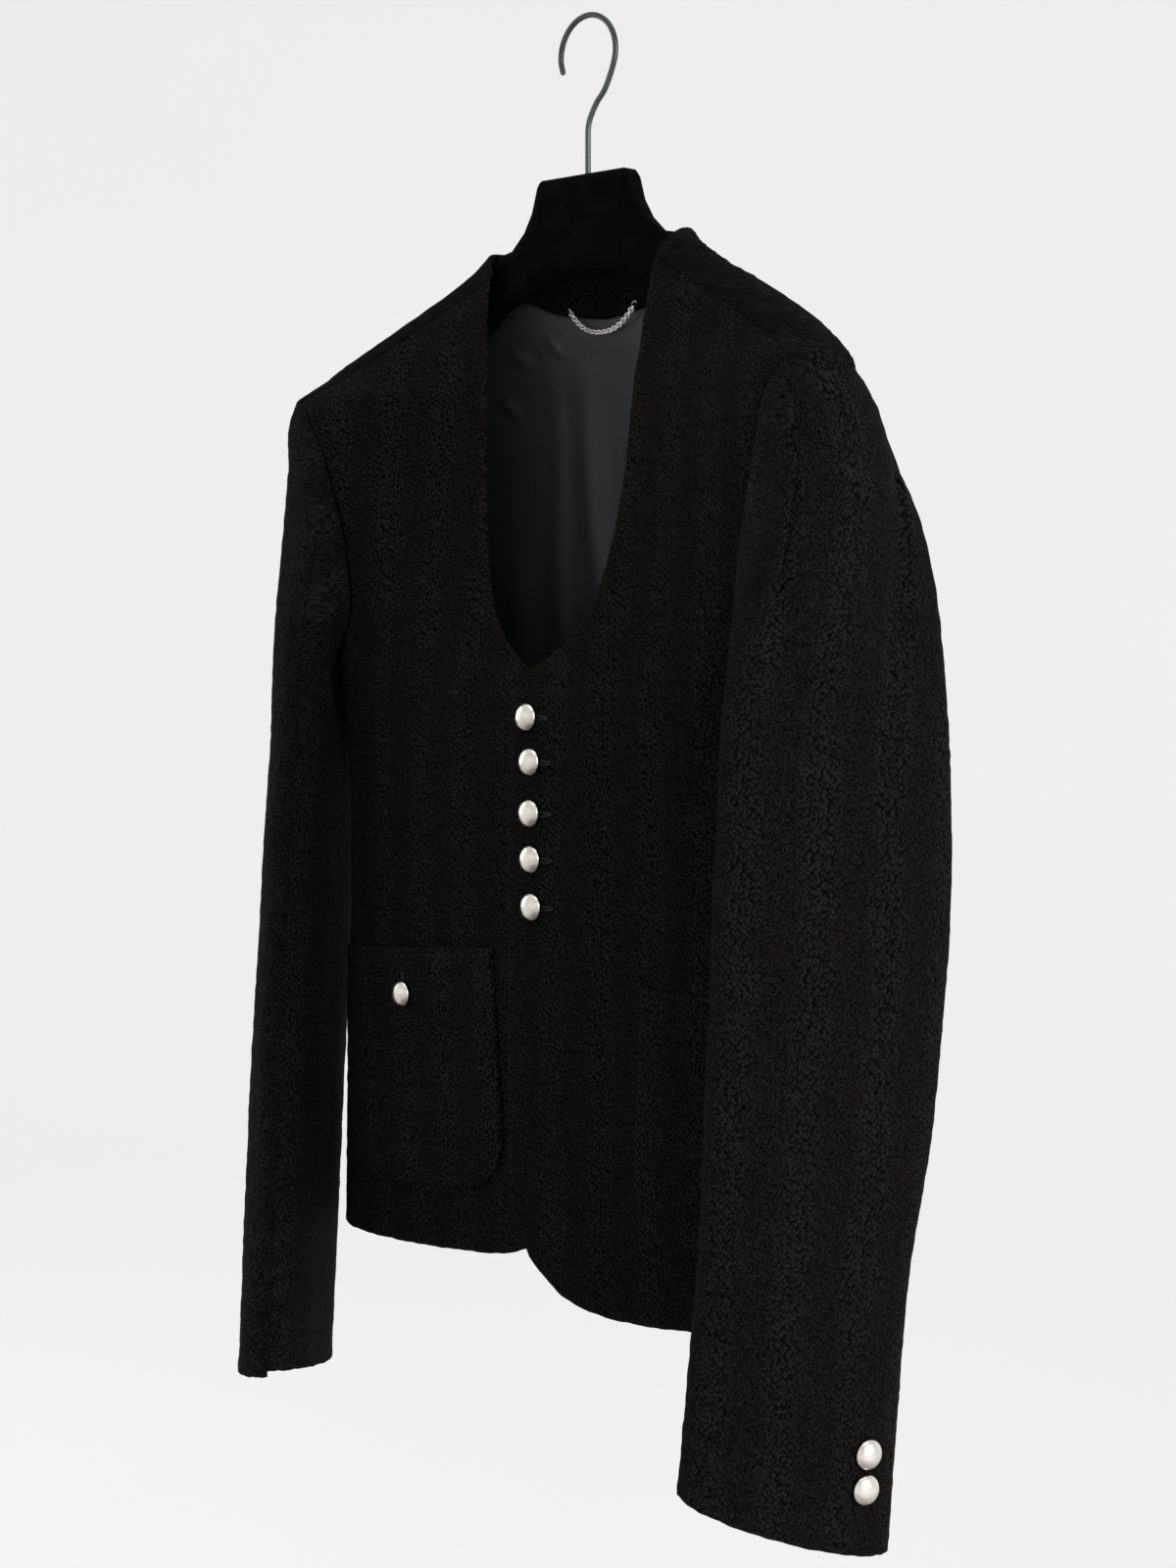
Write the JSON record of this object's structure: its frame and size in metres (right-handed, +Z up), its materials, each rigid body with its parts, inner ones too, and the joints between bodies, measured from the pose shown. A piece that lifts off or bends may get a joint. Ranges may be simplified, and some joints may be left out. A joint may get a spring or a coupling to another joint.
{
  "type": "cropped tweed jacket on a hanger",
  "caption": "Cropped collarless jacket of dark tweed, buttoned to a deep curved neckline, with long sleeves and patch pockets, hung on a contoured hanger.",
  "frame": {"origin": "the inner top of the hanger's hook, where a rail carries it", "axes": "+Z up, -Y the way the jacket's front faces, +X towards the wearer's left"},
  "size_m": [0.5082, 0.1597, 0.8459],
  "materials": {
    "tweed": "rough boucle twill, charcoal black",
    "lining": "satin",
    "button": "matte silver",
    "hanger": "flocked",
    "wire": "dark, half polished",
    "chain": "bright silver"
  },
  "bodies": {
    "root": {"back": "tweed", "back_lining": "lining", "neck_facing": "tweed", "front_left": "tweed", "front_right": "tweed", "sleeve_top_left": "tweed", "sleeve_top_right": "tweed", "sleeve_under_left": "tweed", "sleeve_under_right": "tweed", "pocket_left": "tweed", "pocket_right": "tweed", "front_button_1": "button", "front_button_2": "button", "front_button_3": "button", "front_button_4": "button", "front_button_5": "button", "pocket_button_left": "button", "pocket_button_right": "button", "cuff_button_left_1": "button", "cuff_button_left_2": "button", "cuff_button_right_1": "button", "cuff_button_right_2": "button", "hanger": "hanger", "hook": "wire", "hanger_loop": "chain"}
  },
  "joints": []
}
